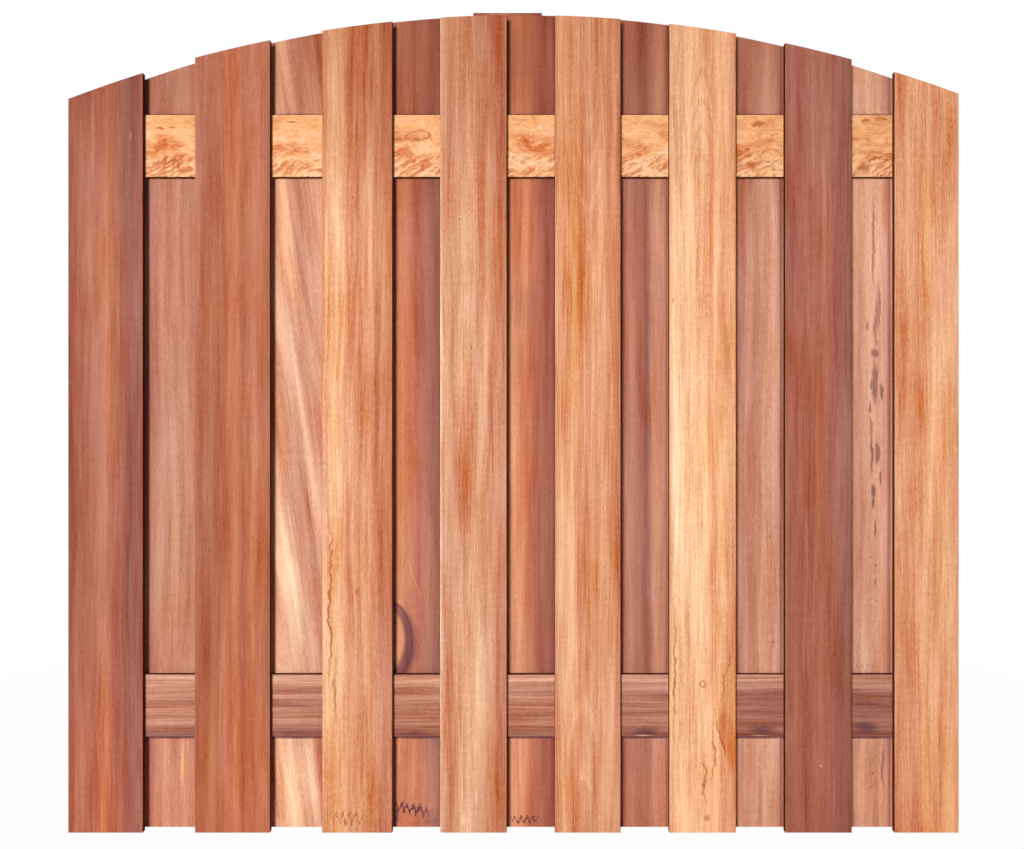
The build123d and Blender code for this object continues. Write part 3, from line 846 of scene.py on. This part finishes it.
def screw_mesh(length):
    """One countersunk wood screw along -Z with its head at the origin: a six-lobed recess, a cone,
    a plain neck, a rolled thread and a point."""
    sizes = bpy.context.scene.fence_sizes
    head = sizes.screw_head / 2
    shank = sizes.screw_shank / 2
    sides = sizes.screw_sides
    recess_edge = head * 0.42
    recess_depth = head * 0.4
    neck_radius = shank * 0.8
    core = shank * 0.68
    tip = shank * 2
    slope = head - shank
    neck = slope + length * 0.25
    mesh = bmesh.new()
    bmesh.ops.create_circle(mesh, cap_ends=True, segments=sides, radius=head)
    cap = next(iter(mesh.faces))
    rim = list(cap.edges)
    bmesh.ops.inset_region(mesh, faces=[cap], thickness=recess_edge, use_even_offset=True)
    ring = sorted(cap.verts, key=lambda v: math.atan2(v.co.y, v.co.x))
    for number, vert in enumerate(ring):
        lobe = 0.84 + 0.16 * math.cos(RECESS_LOBES * math.tau * number / sides)
        vert.co *= lobe
    floor = bmesh.ops.extrude_face_region(mesh, geom=[cap])["geom"]
    low = [g for g in floor if isinstance(g, bmesh.types.BMVert)]
    bmesh.ops.translate(mesh, verts=low, vec=(0, 0, -recess_depth))
    bmesh.ops.scale(mesh, verts=low, vec=(0.8, 0.8, 1))
    bmesh.ops.delete(mesh, geom=[cap], context="FACES_ONLY")
    outline = [(head, HEAD_RIM), (neck_radius, slope + HEAD_RIM), (neck_radius, neck)]
    for turn in range(int((length - neck - tip) / THREAD_PITCH)):
        outline += [(core, neck + THREAD_PITCH * turn), (shank, neck + THREAD_PITCH * (turn + 0.5))]
    outline += [(core, length - tip), (0.1 * MM, length)]
    size = head
    for radius, depth in outline:
        grown = bmesh.ops.extrude_edge_only(mesh, edges=rim)["geom"]
        rim = [g for g in grown if isinstance(g, bmesh.types.BMEdge)]
        verts = [g for g in grown if isinstance(g, bmesh.types.BMVert)]
        for vert in verts:
            vert.co.z = -depth
        bmesh.ops.scale(mesh, verts=verts, vec=(radius / size, radius / size, 1))
        size = radius
    bmesh.ops.contextual_create(mesh, geom=rim)
    bmesh.ops.recalc_face_normals(mesh, faces=mesh.faces)
    settle_order(mesh)
    return mesh


def dress_screws(node, material):
    """Stands a finely shaped screw in for each plain one of a node."""
    spots = screw_spots(node)
    pattern = screw_mesh(spots[0][1])
    single = bpy.data.meshes.new(node + "_pattern")
    pattern.to_mesh(single)
    pattern.free()
    whole = bmesh.new()
    proud = Vector((0, HEAD_PROUD, 0))
    for number, (spot, _) in enumerate(spots):
        before = len(whole.verts)
        whole.from_mesh(single)
        whole.verts.ensure_lookup_table()
        turn = Matrix.Rotation(math.radians(-90), 4, "X") @ Matrix.Rotation(number * HEAD_TURN, 4, "Z")
        place = Matrix.Translation(spot + proud) @ turn
        bmesh.ops.transform(whole, verts=whole.verts[before:], matrix=place)
    mesh = bpy.data.meshes.new(node + "_finished")
    whole.to_mesh(mesh)
    whole.free()
    bpy.data.meshes.remove(single)
    mesh.materials.append(material)
    piece = bpy.data.objects.new(node + "_finished", mesh)
    bpy.context.scene.collection.objects.link(piece)
    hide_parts(node)
    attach(piece, "root")


class FENCE_OT_front_boards(Operator):
    """Finish the boards on the front in planed hardwood"""

    bl_idname = "fence_panel.front_boards"
    bl_label = "Finish front boards"

    def execute(self, context):
        for number, wood in enumerate(FRONT_WOODS, 1):
            node = f"front_board_{number}"
            finish_node(node, planed_hardwood(f"oiled_hardwood_front_{number}", wood, node, number))
        return {"FINISHED"}


class FENCE_OT_back_boards(Operator):
    """Finish the boards on the back in planed hardwood"""

    bl_idname = "fence_panel.back_boards"
    bl_label = "Finish back boards"

    def execute(self, context):
        for number, wood in enumerate(BACK_WOODS, 1):
            node = f"back_board_{number}"
            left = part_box(node)[0].x
            edges = (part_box(f"front_board_{number}")[1].x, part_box(f"front_board_{number + 1}")[0].x)
            # Painted shadow lines on the back board beside the edges of the two front boards in front of it
            shadow_lines = tuple(("stain_and_shadow", (edge - left) / MM, 800, 7, 3000, 0.6, 1) for edge in edges)
            material = planed_hardwood(f"oiled_hardwood_back_{number}", wood, node, number + 20,
                                       painted_shadows=RAIL_SHADOW_LINES + shadow_lines)
            finish_node(node, material)
        return {"FINISHED"}


class FENCE_OT_stile(Operator):
    """Finish the upright in the middle of the back"""

    bl_idname = "fence_panel.stile"
    bl_label = "Finish centre stile"

    def execute(self, context):
        finish_node("centre_stile", planed_hardwood("oiled_hardwood_stile", STILE_WOOD, "centre_stile", 31))
        return {"FINISHED"}


class FENCE_OT_rails(Operator):
    """Finish the two level rails, the upper one in figured wood"""

    bl_idname = "fence_panel.rails"
    bl_label = "Finish rails"

    def execute(self, context):
        finish_node("upper_rail", figured_hardwood("oiled_figured_hardwood", "upper_rail", 5))
        lower = planed_hardwood("oiled_hardwood_lower_rail", LOWER_RAIL_WOOD, "lower_rail", 41, False)
        finish_node("lower_rail", lower)
        return {"FINISHED"}


class FENCE_OT_screws(Operator):
    """Shape the screws finely and finish them in stainless steel"""

    bl_idname = "fence_panel.screws"
    bl_label = "Finish screws"

    def execute(self, context):
        steel = stainless_steel("tumbled_stainless_steel")
        for node in sorted(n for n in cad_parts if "screws" in n):
            dress_screws(node, steel)
        return {"FINISHED"}


def white_to_camera(tree):
    """A mask that is 1 where the camera, a reflection or a see-through surface looks."""
    path = add(tree, "ShaderNodeLightPath")
    seen = add(tree, "ShaderNodeMath", {0: path["Is Camera Ray"], 1: path["Is Glossy Ray"]},
               operation="MAXIMUM")[0]
    return add(tree, "ShaderNodeMath", {0: seen, 1: path["Is Transmission Ray"]}, operation="MAXIMUM")[0]


def add_lamp(name, azimuth, elevation, distance, width, watts):
    """A square soft box that looks at the middle of the panel."""
    lamp = bpy.data.lights.new(name, "AREA")
    lamp.shape = "SQUARE"
    lamp.size = width
    lamp.energy = watts
    turn, rise = math.radians(azimuth), math.radians(elevation)
    out = Vector((math.sin(turn) * math.cos(rise), -math.cos(turn) * math.cos(rise), math.sin(rise)))
    body = bpy.data.objects.new(name, lamp)
    body.location = Vector((0, 0, TOP / 2)) + out * distance
    body.rotation_mode = "QUATERNION"
    body.rotation_quaternion = out.to_track_quat("Z", "Y")
    body.visible_camera = False
    bpy.context.scene.collection.objects.link(body)


class FENCE_OT_stage(Operator):
    """Set up the floor, the white surroundings, the lamps and the camera"""

    bl_idname = "fence_panel.stage"
    bl_label = "Set up stage"

    def execute(self, context):
        scene = context.scene
        sizes = scene.fence_sizes
        mesh = bmesh.new()
        bmesh.ops.create_grid(mesh, x_segments=1, y_segments=1, size=FLOOR_REACH)
        sheet = bpy.data.meshes.new("floor")
        mesh.to_mesh(sheet)
        mesh.free()
        floor = bpy.data.objects.new("floor", sheet)
        scene.collection.objects.link(floor)

        material, tree = new_tree("painted_floor")
        matt = add(tree, "ShaderNodeBsdfDiffuse", {"Color": colour("paper")})[0]
        glow = add(tree, "ShaderNodeEmission", {"Color": (1, 1, 1, 1), "Strength": 1.0})[0]
        place = add(tree, "ShaderNodeTexCoord")["Object"]
        away = add(tree, "ShaderNodeVectorMath", {0: place}, operation="LENGTH")["Value"]
        bright = add(tree, "ShaderNodeMapRange", {0: away, 1: 1, 2: 3, 3: 0.97, 4: 1}, **SMOOTH)[0]
        part = add(tree, "ShaderNodeMath", {0: white_to_camera(tree), 1: bright}, operation="MULTIPLY")[0]
        mixed = add(tree, "ShaderNodeMixShader", {0: part, 1: matt, 2: glow})[0]
        add(tree, "ShaderNodeOutputMaterial", {"Surface": mixed})
        sheet.materials.append(material)

        world = bpy.data.worlds.new("surroundings")
        world.use_nodes = True
        tree = world.node_tree
        tree.nodes.clear()
        soft = add(tree, "ShaderNodeBackground", {"Color": (1, 1, 1, 1), "Strength": SKY_LIGHT})[0]
        white = add(tree, "ShaderNodeBackground", {"Color": (1, 1, 1, 1), "Strength": 1})[0]
        mixed = add(tree, "ShaderNodeMixShader", {0: white_to_camera(tree), 1: soft, 2: white})[0]
        add(tree, "ShaderNodeOutputWorld", {"Surface": mixed})
        scene.world = world

        for lamp in LAMPS:
            add_lamp(*lamp)

        lens = bpy.data.cameras.new("camera")
        lens.sensor_width = SENSOR_WIDTH
        lens.lens = lens.sensor_width * sizes.camera_distance / sizes.view_width
        camera = bpy.data.objects.new("camera", lens)
        camera.location = (sizes.camera_aside, FRONT_FACE - sizes.camera_distance, sizes.camera_height)
        camera.rotation_euler = (math.radians(90), 0, 0)
        scene.collection.objects.link(camera)
        scene.camera = camera
        scene.view_settings.view_transform = "Standard"
        return {"FINISHED"}


STEPS = (FENCE_OT_stage, FENCE_OT_front_boards, FENCE_OT_back_boards, FENCE_OT_stile, FENCE_OT_rails,
         FENCE_OT_screws)


class FENCE_PT_panel(Panel):
    """Sizes, colours and steps of the fence panel"""

    bl_label = "Fence panel"
    bl_idname = "FENCE_PT_panel"
    bl_space_type = "VIEW_3D"
    bl_region_type = "UI"
    bl_category = "Fence panel"

    def draw(self, context):
        for group in (context.scene.fence_sizes, context.scene.fence_tones):
            for name in group.__annotations__:
                self.layout.prop(group, name)
        for step in STEPS:
            self.layout.operator(step.bl_idname)


CLASSES = (FenceTones, FenceSizes, *STEPS, FENCE_PT_panel)


def register():
    for each in CLASSES:
        bpy.utils.register_class(each)
    bpy.types.Scene.fence_tones = PointerProperty(type=FenceTones)
    bpy.types.Scene.fence_sizes = PointerProperty(type=FenceSizes)


def unregister():
    del bpy.types.Scene.fence_sizes
    del bpy.types.Scene.fence_tones
    for each in reversed(CLASSES):
        bpy.utils.unregister_class(each)


def main():
    """Registers the add-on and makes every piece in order."""
    register()
    bpy.ops.fence_panel.stage()
    bpy.ops.fence_panel.front_boards()
    bpy.ops.fence_panel.back_boards()
    bpy.ops.fence_panel.stile()
    bpy.ops.fence_panel.rails()
    bpy.ops.fence_panel.screws()


if __name__ == "__main__":
    main()
